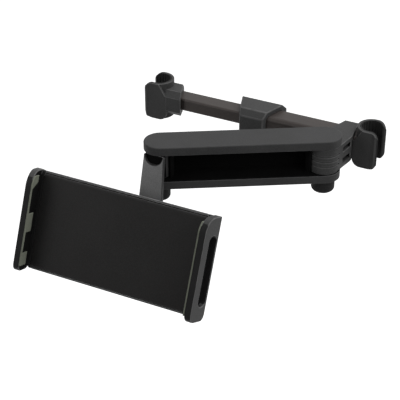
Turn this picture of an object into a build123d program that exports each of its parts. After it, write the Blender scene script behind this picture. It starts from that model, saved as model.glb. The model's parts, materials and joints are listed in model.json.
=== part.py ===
"""Headrest tablet mount: a telescopic bar with two post hooks, a swing arm and a tablet holder."""
import math
import os

from build123d import *

os.makedirs("parts", exist_ok=True)

# Post hooks
post_bore_radius = 6.8
post_spacing = 146.0
liner_thickness = 1.0
hook_wall = 1.5
hook_height = 25.2
hook_corner = 5.5
back_jaw_angle = 42.0
throat_length = 2.4
flare_radius = 3.6
flare_turn = 46.0
leaf_thickness = 1.6
leaf_reach = 9.0
leaf_shoulder = 3.6
leaf_rise = 5.2
leaf_step = 1.0
leaf_tail = 7.6
liner_radius = post_bore_radius + liner_thickness
hook_radius = liner_radius + hook_wall
hook_half = hook_height / 2
jaw_reach = hook_radius * math.cos(math.radians(back_jaw_angle))

# Telescopic bar
inner_tube_width = 12.0
inner_tube_height = 8.4
inner_tube_wall = 1.2
inner_tube_corner = 1.4
tube_gap = 0.7
outer_tube_wall = 1.0
slide_clearance = 0.2
stop_gap = 0.3
outer_bore_width = inner_tube_width + 2 * tube_gap
outer_bore_height = inner_tube_height + 2 * tube_gap
outer_bore_corner = inner_tube_corner + tube_gap
outer_tube_width = outer_bore_width + 2 * outer_tube_wall
outer_tube_height = outer_bore_height + 2 * outer_tube_wall
outer_tube_corner = outer_bore_corner + outer_tube_wall
inner_bore_width = inner_tube_width - 2 * inner_tube_wall
inner_bore_height = inner_tube_height - 2 * inner_tube_wall
inner_bore_corner = 0.4

# Collar and sockets on the bar
end_slope = 0.335
collar_near = 64.5
collar_length = 23.4
collar_width = 22.0
collar_height = 18.4
collar_bevel = 3.9
collar_lip = 6.5
socket_width = 21.0
socket_height = 17.2
socket_bevel = 3.7
sliding_socket_length = 16.0
sliding_socket_inset = 0.2
sliding_socket_floor = 10.9
sliding_spigot_reach = 28.0
fixed_spigot_reach = 22.0
spigot_root = 5.0
sliding_socket_width = 2 * (hook_radius - sliding_socket_inset)
sliding_post_x = -post_spacing
collar_far = collar_near + collar_length
outer_tube_far = collar_far - collar_lip
inner_tube_far = sliding_post_x + sliding_socket_floor
bush_length = 11.4
bush_wall = 1.3
bush_bore_radius = 2.9
bush_start = -outer_tube_far + stop_gap
bush_end = bush_start + bush_length
inner_tube_end = bush_end - bush_wall
spring_radius = 2.2
spring_wire = 0.35
spring_turns = 15
spring_start = sliding_post_x + sliding_spigot_reach + spring_wire
spring_length = -fixed_spigot_reach - spring_wire - spring_start

# Socket screws under the bar
screw_head_radius = 2.3
screw_head_height = 1.5
screw_shank_radius = 1.25
screw_depth = 6.0
fixed_screw_offset = 16.6
sliding_screw_offset = 13.5
fixed_screw_x = -fixed_screw_offset
sliding_screw_x = sliding_post_x + sliding_screw_offset

# Hinge bracket
pivot_x = -21.0
pivot_reach = 24.9
barrel_radius = 9.4
sleeve_back_left = 18.6
sleeve_back_right = 11.6
sleeve_front_right = 9.2
groove_depth = 0.35
groove_height = 0.9
groove_pitch = 3.4
pocket_height = 3.2
pocket_level = 3.85
pocket_depth = 6.2
pocket_near = 11.6
pocket_far = 20.4
pivot_y = -pivot_reach
socket_half = socket_height / 2
socket_back = socket_width / 2

# Swing arm and its pivots
arm_length = 99.0
arm_angle = 30.43
arm_width = 20.0
fork_gap = 0.3
plate_thickness = 5.4
plate_round = 0.7
web_thickness = 2.6
web_offset = 6.0
web_near_margin = 8.8
web_far_margin = 5.2
saddle_gap = 0.45
saddle_wall = 1.5
near_saddle_angles = (150, 210)
far_saddle_angles = (-45, 110)
bolt_radius = 3.0
bolt_clearance = 0.05
bolt_bite = 3.2
bolt_head_height = 3.4
bracket_head_radius = 5.0
bracket_cap_radius = 7.2
bracket_cap_height = 9.6
bracket_cap_round = 2.6
holder_head_radius = 4.1
holder_cap_radius = 5.8
holder_cap_height = 11.2
holder_cap_round = 2.8
washer_radius = 6.6
washer_seat = 0.6
washer_thickness = 0.75
fork_half = socket_half + fork_gap
arm_half = fork_half + plate_thickness
arm_cos = math.cos(math.radians(arm_angle))
arm_sin = math.sin(math.radians(arm_angle))
swivel_x = pivot_x - arm_length * arm_cos
swivel_y = pivot_y - arm_length * arm_sin
arm_plane = Plane(
    origin=((pivot_x + swivel_x) / 2, (pivot_y + swivel_y) / 2, 0),
    x_dir=(arm_cos, arm_sin, 0),
    z_dir=(0, 0, 1),
)

# Drop bracket
swivel_barrel_radius = 6.0
swivel_washer_radius = 5.0
drop_lean = 12.0
drop_depth = 42.6
drop_face_reach = 20.25
drop_thickness = 2.6
drop_top_width = 13.1
drop_end_radius = 8.6
drop_web_width = 7.0
drop_relief = 6.0
relief_radius = 5.8
relief_skin = 0.8
drop_side_shift = 0.4
lean_cos = math.cos(math.radians(drop_lean))
lean_sin = math.sin(math.radians(drop_lean))
drop_x = swivel_x + drop_side_shift
drop_y = swivel_y - drop_face_reach
drop_normal = (0, -lean_cos, lean_sin)
drop_plane = Plane(origin=(drop_x, drop_y, -drop_depth), x_dir=(1, 0, 0), z_dir=drop_normal)
drop_length = (drop_depth + socket_half) / lean_cos

# Ball joint
ball_radius = 7.0
ball_reach = 11.1
neck_radius = 2.8
flange_radius = 4.8
flange_height = 1.3
stud_radius = 2.5
nut_width = 8.0
nut_height = 3.6
stud_tail = 1.2
cup_clearance = 0.1
cup_wall = 1.5
cup_front = 1.2
cup_rear = 4.3
seat_level = 5.9
socket_clearance = 0.3
socket_wall = 1.5
boss_rear = 4.4
boss_cap = 1.2
ring_wall = 2.0
ring_back = 1.3
ring_front = 3.8
ring_hole_radius = 6.4
ring_lobes = 10
ring_lobe_radius = 1.1
cup_bore_radius = ball_radius + cup_clearance
cup_radius = cup_bore_radius + cup_wall
cavity_radius = cup_radius + socket_clearance
boss_radius = cavity_radius + socket_wall
ring_bore_radius = boss_radius + socket_clearance
ring_radius = ring_bore_radius + ring_wall

# Tablet holder
holder_tilt = 23.8
holder_side = 6.4
holder_rise = 0.66
ball_to_face = 16.0
fixed_jaw_width = 7.0
sliding_jaw_width = 8.4
body_height = 61.6
body_depth = 10.0
edge_bevel = 3.25
crest_level = 1.8
rear_taper = 2.4
panel_depth = 2.9
shell_wall = 1.8
shell_round = 1.6
tray_margin = 3.4
panel_inset = 1.75
parting_gap = 0.45
jaw_half_width = 61.9
jaw_lean = 2.4
jaw_lip = 12.6
lip_width = 4.0
jaw_inner_lean = 1.5
jaw_back = 2.0
jaw_height = 62.2
jaw_top_round = 9.5
jaw_foot_round = 5.0
jaw_heel_round = 3.5
seam_gap = 0.3
slot_length = 42.2
slot_width = 7.3
slot_level = 3.0
slot_shift = -1.1
slot_depth = 3.2
pad_thickness = 0.9
pad_foot = 4.6
pad_strip = 1.3
pad_low = -27.2
pad_high = 28.2
block_height = 8.0
block_slant = 4.2
middle_block_height = 11.5
middle_block_shift = -0.7
tongue_half = 15.0
tongue_reach = 12.0
tongue_top = 3.2
tongue_thickness = 2.0
tongue_clearance = 0.3
crossbar_width = 5.0
crossbar_half = 21.5
lug_length = 4.6
lug_root = 2.0
lug_half = 20.0
lug_thickness = 3.0
lug_screw_spacing = 12.0
lug_screw_inset = 2.4
boss_screw_radius = 1.1
boss_post_radius = 2.1
boss_post_v = 24.3
boss_inset_left = 6.5
boss_inset_right = 5.8
panel_screw_bite = 1.8
small_head_radius = 1.8
small_head_height = 1.3
jaw_spring_v = 18.3
jaw_spring_level = 4.9
spring_post_inset = 11.5
jaw_spring_post_radius = 1.3
jaw_spring_radius = 1.35
jaw_spring_wire = 0.3
jaw_spring_turns = 9
tilt_cos = math.cos(math.radians(holder_tilt))
tilt_sin = math.sin(math.radians(holder_tilt))
ball_x = drop_x
ball_y = drop_y - ball_reach * lean_cos
ball_z = -drop_depth + ball_reach * lean_sin
face_x = ball_x - holder_side
face_y = ball_y - ball_to_face * tilt_cos + holder_rise * tilt_sin
face_z = ball_z + ball_to_face * tilt_sin + holder_rise * tilt_cos
face_origin = (face_x, face_y, face_z)
holder_up = (0, tilt_sin, tilt_cos)
holder_out = (0, -tilt_cos, tilt_sin)
holder_plane = Plane(origin=face_origin, x_dir=(1, 0, 0), z_dir=holder_out)
section_plane = Plane(origin=face_origin, x_dir=(1, 0, 0), z_dir=(0, -tilt_sin, -tilt_cos))
side_plane = Plane(origin=face_origin, x_dir=holder_up, z_dir=(1, 0, 0))
ball_plane = Plane(origin=(ball_x, ball_y, ball_z), x_dir=(1, 0, 0), z_dir=holder_out)
body_left = jaw_half_width - fixed_jaw_width
body_right = jaw_half_width - sliding_jaw_width
body_width = body_left + body_right
body_mid = (body_right - body_left) / 2
body_half = body_height / 2
face_half = body_half - edge_bevel
rear_half = body_half - rear_taper
panel_half = body_half - panel_inset
shell_depth = body_depth - panel_depth
floor_level = -body_depth + shell_wall
jaw_half = jaw_height / 2
jaw_inner = jaw_half_width - jaw_lean - lip_width
jaw_root = jaw_inner + jaw_inner_lean
tongue_bottom = tongue_top + tongue_thickness
boss_post_left = body_left - boss_inset_left
boss_post_right = body_right - boss_inset_right
jaw_spring_post = body_left - spring_post_inset
boss_posts = [
    (-boss_post_left, boss_post_v),
    (-boss_post_left, -boss_post_v),
    (boss_post_right, boss_post_v),
    (boss_post_right, -boss_post_v),
]
lug_screws = [
    (-body_left + lug_screw_inset, lug_screw_spacing),
    (-body_left + lug_screw_inset, -lug_screw_spacing),
]
spring_posts = [(-jaw_spring_post, jaw_spring_v), (-jaw_spring_post, -jaw_spring_v)]
jaw_spring_start = -jaw_spring_post + jaw_spring_post_radius + jaw_spring_wire
jaw_spring_length = -tongue_reach - jaw_spring_wire - jaw_spring_start


# Plan outline of a strip that wraps a post and flares at its front tip
def hook_strip(post_x, hand, inner, outer):
    flare_centre = hook_radius + flare_radius
    middle = (back_jaw_angle + 270) / 2

    def ring(radius, angle):
        turn = math.radians(angle)
        return (post_x + hand * radius * math.cos(turn), radius * math.sin(turn))

    def flare(radius, angle):
        turn = math.radians(angle)
        reach = flare_centre - radius
        across = throat_length + reach * math.sin(turn)
        return (post_x + hand * across, reach * math.cos(turn) - flare_centre)

    with BuildSketch(Plane.XY.offset(-hook_half)) as strip:
        with BuildLine():
            ThreePointArc(ring(outer, back_jaw_angle), ring(outer, middle), ring(outer, 270))
            Line(ring(outer, 270), flare(outer, 0))
            ThreePointArc(flare(outer, 0), flare(outer, flare_turn / 2), flare(outer, flare_turn))
            Line(flare(outer, flare_turn), flare(inner, flare_turn))
            ThreePointArc(flare(inner, flare_turn), flare(inner, flare_turn / 2), flare(inner, 0))
            Line(flare(inner, 0), ring(inner, 270))
            ThreePointArc(ring(inner, 270), ring(inner, middle), ring(inner, back_jaw_angle))
            Line(ring(inner, back_jaw_angle), ring(outer, back_jaw_angle))
        make_face()
    return strip.sketch


# Front leaf that carries the hook's front jaw, drawn in the face of the leaf
def hook_leaf(post_x, hand):
    with BuildSketch(Plane.XZ.offset(hook_radius)) as leaf:
        with BuildLine():
            Polyline(
                (post_x - hand * leaf_reach, -leaf_tail),
                (post_x - hand * leaf_reach, leaf_rise),
                (post_x - hand * (leaf_reach - leaf_step), leaf_rise),
                (post_x - hand * leaf_shoulder, hook_half),
                (post_x, hook_half),
                (post_x, -hook_half),
                (post_x - hand * leaf_shoulder, -hook_half),
            )
            TangentArc(
                (post_x - hand * leaf_shoulder, -hook_half),
                (post_x - hand * leaf_reach, -leaf_tail),
                tangent=(-hand, 0),
            )
        make_face()
    return leaf.sketch


# Window that rounds the free corners of a hook's jaws, seen from the front
def jaw_window(post_x, hand):
    with BuildSketch(Plane.XZ) as window:
        with Locations((post_x + hand * (jaw_reach - 2 * hook_radius), 0)):
            RectangleRounded(4 * hook_radius, hook_height, hook_corner)
    return window.sketch


# Bevelled outline of a socket, square to the bar
def bevelled_outline(at, width, height, bevel):
    with BuildSketch(Plane.YZ.offset(at)) as outline:
        Rectangle(width, height)
        chamfer(outline.vertices(), bevel)
    return outline.sketch


# Rectangular outline with rounded corners, square to the bar
def bar_outline(at, width, height, corner):
    with BuildSketch(Plane.YZ.offset(at)) as outline:
        RectangleRounded(width, height, corner)
    return outline.sketch


# End wall of the arm's channel, curved round a barrel between the plates
def saddle(at, radius, angles):
    outer = radius + saddle_wall
    middle = sum(angles) / 2

    def spot(reach, angle):
        turn = math.radians(angle)
        return (at + reach * math.cos(turn), reach * math.sin(turn))

    with BuildSketch(arm_plane.offset(-fork_half)) as wall:
        with BuildLine():
            ThreePointArc(spot(radius, angles[0]), spot(radius, middle), spot(radius, angles[1]))
            Line(spot(radius, angles[1]), spot(outer, angles[1]))
            ThreePointArc(spot(outer, angles[1]), spot(outer, middle), spot(outer, angles[0]))
            Line(spot(outer, angles[0]), spot(radius, angles[0]))
        make_face()
    return wall.sketch


# Side outline of the holder's body: a bevelled crest in front and a tapered, rounded rear
def body_outline(at):
    with BuildSketch(side_plane.offset(at)) as outline:
        with BuildLine():
            Polyline(
                (face_half, 0),
                (body_half, -crest_level),
                (rear_half, -body_depth),
                (-rear_half, -body_depth),
                (-body_half, -crest_level),
                (-face_half, 0),
                close=True,
            )
        make_face()
        fillet(outline.vertices().group_by(Axis.Y)[0], shell_round)
    return outline.sketch


# Side outline of a jaw's wall, with rounded lip corners and a rounded heel
def jaw_outline():
    heel = jaw_heel_round - jaw_back
    with BuildSketch(side_plane) as outline:
        with BuildLine():
            Polyline(
                (jaw_heel_round - jaw_half, -jaw_back),
                (jaw_heel_round - jaw_half, -body_depth),
                (rear_half, -body_depth),
                (jaw_half, -jaw_back),
                (jaw_half, jaw_lip - jaw_top_round),
            )
            TangentArc(
                (jaw_half, jaw_lip - jaw_top_round),
                (jaw_half - jaw_top_round, jaw_lip),
                tangent=(0, 1),
            )
            Line((jaw_half - jaw_top_round, jaw_lip), (jaw_foot_round - jaw_half, jaw_lip))
            TangentArc(
                (jaw_foot_round - jaw_half, jaw_lip),
                (-jaw_half, jaw_lip - jaw_foot_round),
                tangent=(-1, 0),
            )
            Line((-jaw_half, jaw_lip - jaw_foot_round), (-jaw_half, heel))
            TangentArc((-jaw_half, heel), (jaw_heel_round - jaw_half, -jaw_back), tangent=(0, -1))
        make_face()
    return outline.sketch


# Section of a jaw's leaning wall across the holder
def jaw_section(hand):
    with BuildSketch(section_plane) as section:
        with BuildLine():
            Polyline(
                (hand * jaw_root, -body_depth),
                (hand * jaw_half_width, -jaw_back),
                (hand * (jaw_half_width - jaw_lean), jaw_lip),
                (hand * jaw_inner, jaw_lip),
                (hand * jaw_root, 0),
                close=True,
            )
        make_face()
    return section.sketch


# Section of the pad on a jaw's inner wall
def pad_section(hand):
    foot = jaw_inner + jaw_inner_lean * (1 - pad_foot / jaw_lip)
    with BuildSketch(section_plane) as section:
        with BuildLine():
            Polyline(
                (hand * foot, pad_foot),
                (hand * jaw_inner, jaw_lip),
                (hand * (jaw_inner - pad_thickness), jaw_lip),
                (hand * (foot - pad_thickness), pad_foot),
                close=True,
            )
        make_face()
    return section.sketch


# Side outline of a jaw pad: a strip along the lip with three blocks
def pad_outline():
    with BuildSketch(side_plane) as outline:
        with BuildLine():
            Polyline(
                (pad_low, jaw_lip),
                (pad_low, pad_foot),
                (pad_low + block_height, pad_foot),
                (pad_low + block_height, jaw_lip - pad_strip),
                (pad_high - block_height, jaw_lip - pad_strip),
                (pad_high - block_slant, pad_foot),
                (pad_high, pad_foot),
                (pad_high, jaw_lip),
                close=True,
            )
        make_face()
        with Locations((middle_block_shift, pad_foot)):
            Rectangle(middle_block_height, jaw_lip - pad_foot, align=(Align.CENTER, Align.MIN))
    return outline.sketch


# Outer tube, coped to the fixed hook at its near end
with BuildPart() as outer_tube:
    extrude(
        bar_outline(-outer_tube_far, outer_tube_width, outer_tube_height, outer_tube_corner),
        amount=outer_tube_far - spigot_root,
    )
    extrude(
        bar_outline(-outer_tube_far, outer_bore_width, outer_bore_height, outer_bore_corner),
        amount=outer_tube_far,
        mode=Mode.SUBTRACT,
    )
    Cylinder(hook_radius, hook_height, mode=Mode.SUBTRACT)
    with Locations((fixed_screw_x, 0, -outer_tube_height / 2)):
        Cylinder(screw_shank_radius, 2.5 * outer_tube_wall, mode=Mode.SUBTRACT)
outer_tube.part.label = "outer_tube"
export_step(outer_tube.part, "parts/outer_tube.step")

# Inner tube
with BuildPart() as inner_tube:
    extrude(
        bar_outline(inner_tube_far, inner_tube_width, inner_tube_height, inner_tube_corner),
        amount=inner_tube_end - inner_tube_far,
    )
    extrude(
        bar_outline(inner_tube_far, inner_bore_width, inner_bore_height, inner_bore_corner),
        amount=inner_tube_end - inner_tube_far,
        mode=Mode.SUBTRACT,
    )
    with Locations((sliding_screw_x, 0, -inner_tube_height / 2)):
        Cylinder(screw_shank_radius, 2 * inner_tube_wall, mode=Mode.SUBTRACT)
inner_tube.part.label = "inner_tube"
export_step(inner_tube.part, "parts/inner_tube.step")

# Guide bush on the end of the inner tube
with BuildPart() as guide_bush:
    extrude(
        bar_outline(
            bush_start,
            outer_bore_width - 2 * slide_clearance,
            outer_bore_height - 2 * slide_clearance,
            outer_bore_corner - slide_clearance,
        ),
        amount=bush_length,
    )
    extrude(
        bar_outline(bush_start, inner_tube_width, inner_tube_height, inner_tube_corner),
        amount=bush_length - bush_wall,
        mode=Mode.SUBTRACT,
    )
    with BuildSketch(Plane.YZ.offset(bush_start)):
        Circle(bush_bore_radius)
    extrude(amount=bush_length, mode=Mode.SUBTRACT)
guide_bush.part.label = "guide_bush"
export_step(guide_bush.part, "parts/guide_bush.step")

# Collar on the end of the outer tube, with a lip that stops the bush
with BuildPart() as bar_collar:
    with BuildSketch(Plane.XY.offset(-collar_height / 2)):
        collar_slant = end_slope * collar_width / 2
        with BuildLine():
            Polyline(
                (-collar_far + collar_slant, -collar_width / 2),
                (-collar_near - collar_slant, -collar_width / 2),
                (-collar_near + collar_slant, collar_width / 2),
                (-collar_far - collar_slant, collar_width / 2),
                close=True,
            )
        make_face()
    extrude(amount=collar_height)
    chamfer(bar_collar.edges().filter_by(Axis.X), collar_bevel)
    extrude(
        bar_outline(
            -collar_far - collar_width,
            inner_tube_width + 2 * slide_clearance,
            inner_tube_height + 2 * slide_clearance,
            inner_tube_corner + slide_clearance,
        ),
        amount=collar_far,
        mode=Mode.SUBTRACT,
    )
    extrude(
        bar_outline(-outer_tube_far, outer_tube_width, outer_tube_height, outer_tube_corner),
        amount=collar_far,
        mode=Mode.SUBTRACT,
    )
bar_collar.part.label = "bar_collar"
export_step(bar_collar.part, "parts/bar_collar.step")

# Fixed hook with its leaf and the spigot that fills the outer tube
with BuildPart() as fixed_hook:
    extrude(hook_strip(0, 1, liner_radius, hook_radius), amount=hook_height)
    extrude(jaw_window(0, 1), amount=2 * hook_radius, both=True, mode=Mode.INTERSECT)
    extrude(hook_leaf(0, 1), amount=-leaf_thickness)
    extrude(
        bar_outline(-fixed_spigot_reach, outer_bore_width, outer_bore_height, outer_bore_corner),
        amount=fixed_spigot_reach - spigot_root,
    )
    Cylinder(liner_radius, hook_height, mode=Mode.SUBTRACT)
    with Locations((fixed_screw_x, 0, -socket_half)):
        Cylinder(
            screw_shank_radius,
            screw_depth,
            align=(Align.CENTER, Align.CENTER, Align.MIN),
            mode=Mode.SUBTRACT,
        )
fixed_hook.part.label = "fixed_hook"
export_step(fixed_hook.part, "parts/fixed_hook.step")

# Liner of the fixed hook
with BuildPart() as fixed_hook_liner:
    extrude(hook_strip(0, 1, post_bore_radius, liner_radius), amount=hook_height)
    extrude(jaw_window(0, 1), amount=2 * hook_radius, both=True, mode=Mode.INTERSECT)
fixed_hook_liner.part.label = "fixed_hook_liner"
export_step(fixed_hook_liner.part, "parts/fixed_hook_liner.step")

# Sliding hook with its leaf, its socket for the inner tube and the spigot inside the tube
with BuildPart() as sliding_hook:
    extrude(hook_strip(sliding_post_x, -1, liner_radius, hook_radius), amount=hook_height)
    extrude(jaw_window(sliding_post_x, -1), amount=2 * hook_radius, both=True, mode=Mode.INTERSECT)
    extrude(
        bevelled_outline(sliding_post_x, sliding_socket_width, socket_height, socket_bevel),
        amount=sliding_socket_length + socket_back,
    )
    socket_end = sliding_post_x + sliding_socket_length
    with BuildSketch(Plane.XY):
        with BuildLine():
            Polyline(
                (socket_end + end_slope * socket_width, -socket_width),
                (socket_end - end_slope * socket_width, socket_width),
                (socket_end + socket_width, socket_width),
                (socket_end + socket_width, -socket_width),
                close=True,
            )
        make_face()
    extrude(amount=socket_height, both=True, mode=Mode.SUBTRACT)
    extrude(hook_leaf(sliding_post_x, -1), amount=-leaf_thickness)
    with Locations((sliding_post_x, 0, 0)):
        Cylinder(liner_radius, hook_height, mode=Mode.SUBTRACT)
    extrude(
        bar_outline(inner_tube_far, inner_tube_width, inner_tube_height, inner_tube_corner),
        amount=collar_width,
        mode=Mode.SUBTRACT,
    )
    extrude(
        bar_outline(inner_tube_far, inner_bore_width, inner_bore_height, inner_bore_corner),
        amount=sliding_spigot_reach - sliding_socket_floor,
    )
    with Locations((sliding_screw_x, 0, -socket_half)):
        Cylinder(
            screw_shank_radius,
            screw_depth,
            align=(Align.CENTER, Align.CENTER, Align.MIN),
            mode=Mode.SUBTRACT,
        )
        Cylinder(
            screw_head_radius,
            screw_head_height,
            align=(Align.CENTER, Align.CENTER, Align.MIN),
            mode=Mode.SUBTRACT,
        )
sliding_hook.part.label = "sliding_hook"
export_step(sliding_hook.part, "parts/sliding_hook.step")

# Liner of the sliding hook
with BuildPart() as sliding_hook_liner:
    extrude(hook_strip(sliding_post_x, -1, post_bore_radius, liner_radius), amount=hook_height)
    extrude(jaw_window(sliding_post_x, -1), amount=2 * hook_radius, both=True, mode=Mode.INTERSECT)
sliding_hook_liner.part.label = "sliding_hook_liner"
export_step(sliding_hook_liner.part, "parts/sliding_hook_liner.step")

# Screw under the fixed hook's spigot
with BuildPart(Plane.XY.offset(-socket_half)) as fixed_hook_screw:
    with Locations((fixed_screw_x, 0, 0)):
        Cylinder(screw_head_radius, screw_head_height, align=(Align.CENTER, Align.CENTER, Align.MIN))
        Cylinder(screw_shank_radius, screw_depth, align=(Align.CENTER, Align.CENTER, Align.MIN))
        Box(
            1.6 * screw_head_radius,
            0.4 * screw_head_radius,
            screw_head_height / 2,
            align=(Align.CENTER, Align.CENTER, Align.MIN),
            mode=Mode.SUBTRACT,
        )
fixed_hook_screw.part.label = "fixed_hook_screw"
export_step(fixed_hook_screw.part, "parts/fixed_hook_screw.step")

# Screw under the sliding hook's socket
with BuildPart(Plane.XY.offset(-socket_half)) as sliding_hook_screw:
    with Locations((sliding_screw_x, 0, 0)):
        Cylinder(screw_head_radius, screw_head_height, align=(Align.CENTER, Align.CENTER, Align.MIN))
        Cylinder(screw_shank_radius, screw_depth, align=(Align.CENTER, Align.CENTER, Align.MIN))
        Box(
            1.6 * screw_head_radius,
            0.4 * screw_head_radius,
            screw_head_height / 2,
            align=(Align.CENTER, Align.CENTER, Align.MIN),
            mode=Mode.SUBTRACT,
        )
sliding_hook_screw.part.label = "sliding_hook_screw"
export_step(sliding_hook_screw.part, "parts/sliding_hook_screw.step")

# Spring that pushes the two hooks apart
with BuildPart() as bar_spring:
    with BuildLine() as spring_path:
        Helix(spring_length / spring_turns, spring_length, spring_radius, (spring_start, 0, 0), (1, 0, 0))
    with BuildSketch(Plane(origin=spring_path.line @ 0, z_dir=spring_path.line % 0)):
        RegularPolygon(spring_wire, 6)
    sweep(is_frenet=True)
bar_spring.part.label = "bar_spring"
export_step(bar_spring.part, "parts/bar_spring.step")

# Hinge bracket: a sleeve on the outer tube, tapering to the barrel of the arm's hinge
with BuildPart() as hinge_bracket:
    with BuildSketch(Plane.XY.offset(-socket_half)):
        with BuildLine():
            Polyline(
                (-sleeve_back_left, socket_back),
                (-sleeve_back_right, socket_back),
                (-sleeve_front_right, -socket_back),
                (-sleeve_back_left, -socket_back),
                close=True,
            )
        make_face()
        with Locations((pivot_x, pivot_y)):
            Circle(barrel_radius)
        make_hull()
    extrude(amount=socket_height)
    back_edges = hinge_bracket.edges().filter_by(Axis.X).group_by(Axis.Y)[-1]
    chamfer(back_edges, socket_bevel)
    Cylinder(hook_radius, hook_height, mode=Mode.SUBTRACT)
    extrude(
        bar_outline(-collar_near, outer_tube_width, outer_tube_height, outer_tube_corner),
        amount=collar_near,
        mode=Mode.SUBTRACT,
    )
    # pockets in the side of the link
    for level in (-pocket_level, pocket_level):
        with BuildSketch(Plane.XY.offset(level - pocket_height / 2)):
            with Locations((-sleeve_front_right - pocket_depth, -(pocket_near + pocket_far) / 2)):
                Rectangle(2 * pocket_depth, pocket_far - pocket_near, align=(Align.MIN, Align.CENTER))
        extrude(amount=pocket_height, mode=Mode.SUBTRACT)
    # shallow rings round the front of the barrel
    for level in (-groove_pitch, 0, groove_pitch):
        with BuildSketch(Plane.XY.offset(level - groove_height / 2)):
            with Locations((pivot_x, pivot_y)):
                Circle(barrel_radius + groove_depth)
                Circle(barrel_radius - groove_depth, mode=Mode.SUBTRACT)
                Rectangle(
                    3 * barrel_radius,
                    3 * barrel_radius,
                    align=(Align.CENTER, Align.MIN),
                    mode=Mode.SUBTRACT,
                )
        extrude(amount=groove_height, mode=Mode.SUBTRACT)
    # bore and washer seats
    with Locations((pivot_x, pivot_y, 0)):
        Cylinder(bolt_radius + bolt_clearance, socket_height, mode=Mode.SUBTRACT)
    with Locations((pivot_x, pivot_y, socket_half), (pivot_x, pivot_y, -socket_half)):
        Cylinder(washer_radius, 2 * washer_seat, mode=Mode.SUBTRACT)
    # screw hole under the sleeve
    with Locations((fixed_screw_x, 0, -socket_half)):
        Cylinder(
            screw_shank_radius,
            screw_depth,
            align=(Align.CENTER, Align.CENTER, Align.MIN),
            mode=Mode.SUBTRACT,
        )
        Cylinder(
            screw_head_radius,
            screw_head_height,
            align=(Align.CENTER, Align.CENTER, Align.MIN),
            mode=Mode.SUBTRACT,
        )
hinge_bracket.part.label = "hinge_bracket"
export_step(hinge_bracket.part, "parts/hinge_bracket.step")

# Friction washers in both ends of the bracket's barrel
with BuildPart() as bracket_washers:
    with BuildSketch(Plane.XY.offset(socket_half - washer_seat)):
        with Locations((pivot_x, pivot_y)):
            Circle(washer_radius)
            Circle(bolt_radius + bolt_clearance, mode=Mode.SUBTRACT)
    extrude(amount=washer_thickness)
    mirror(about=Plane.XY)
bracket_washers.part.label = "bracket_washers"
export_step(bracket_washers.part, "parts/bracket_washers.step")

# Swing arm: two plates joined by a web and two end walls, open at the front
with BuildPart() as swing_arm:
    with BuildSketch(arm_plane.offset(fork_half)):
        SlotCenterToCenter(arm_length, arm_width)
    extrude(amount=plate_thickness)
    fillet(swing_arm.faces().sort_by(Axis.Z)[-1].edges(), plate_round)
    mirror(about=Plane.XY)
    with BuildSketch(arm_plane.offset(-fork_half)):
        with Locations((web_far_margin - arm_length / 2, web_offset)):
            Rectangle(
                arm_length - web_near_margin - web_far_margin,
                web_thickness,
                align=(Align.MIN, Align.CENTER),
            )
    extrude(amount=2 * fork_half)
    near_saddle = saddle(arm_length / 2, barrel_radius + saddle_gap, near_saddle_angles)
    extrude(near_saddle, amount=2 * fork_half)
    far_saddle = saddle(-arm_length / 2, swivel_barrel_radius + saddle_gap, far_saddle_angles)
    extrude(far_saddle, amount=2 * fork_half)
    with Locations((pivot_x, pivot_y, -arm_half), (swivel_x, swivel_y, -arm_half)):
        Cylinder(
            bolt_radius,
            arm_half + fork_half + bolt_bite,
            align=(Align.CENTER, Align.CENTER, Align.MIN),
            mode=Mode.SUBTRACT,
        )
swing_arm.part.label = "swing_arm"
export_step(swing_arm.part, "parts/swing_arm.step")

# Bolt of the bracket hinge
with BuildPart(Plane(origin=(pivot_x, pivot_y, -arm_half))) as bracket_bolt:
    Cylinder(bolt_radius, arm_half + fork_half + bolt_bite, align=(Align.CENTER, Align.CENTER, Align.MIN))
    Cylinder(bracket_head_radius, bolt_head_height, align=(Align.CENTER, Align.CENTER, Align.MAX))
bracket_bolt.part.label = "bracket_bolt"
export_step(bracket_bolt.part, "parts/bracket_bolt.step")

# Cap over the head of the bracket bolt
with BuildPart(Plane(origin=(pivot_x, pivot_y, -arm_half))) as bracket_cap:
    Cylinder(bracket_cap_radius, bracket_cap_height, align=(Align.CENTER, Align.CENTER, Align.MAX))
    fillet(bracket_cap.faces().sort_by(Axis.Z)[0].edges(), bracket_cap_round)
    Cylinder(
        bracket_head_radius,
        bolt_head_height,
        align=(Align.CENTER, Align.CENTER, Align.MAX),
        mode=Mode.SUBTRACT,
    )
bracket_cap.part.label = "bracket_cap"
export_step(bracket_cap.part, "parts/bracket_cap.step")

# Bolt of the holder hinge
with BuildPart(Plane(origin=(swivel_x, swivel_y, -arm_half))) as holder_bolt:
    Cylinder(bolt_radius, arm_half + fork_half + bolt_bite, align=(Align.CENTER, Align.CENTER, Align.MIN))
    Cylinder(holder_head_radius, bolt_head_height, align=(Align.CENTER, Align.CENTER, Align.MAX))
holder_bolt.part.label = "holder_bolt"
export_step(holder_bolt.part, "parts/holder_bolt.step")

# Cap over the head of the holder bolt
with BuildPart(Plane(origin=(swivel_x, swivel_y, -arm_half))) as holder_cap:
    Cylinder(holder_cap_radius, holder_cap_height, align=(Align.CENTER, Align.CENTER, Align.MAX))
    fillet(holder_cap.faces().sort_by(Axis.Z)[0].edges(), holder_cap_round)
    Cylinder(
        holder_head_radius,
        bolt_head_height,
        align=(Align.CENTER, Align.CENTER, Align.MAX),
        mode=Mode.SUBTRACT,
    )
holder_cap.part.label = "holder_cap"
export_step(holder_cap.part, "parts/holder_cap.step")

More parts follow.
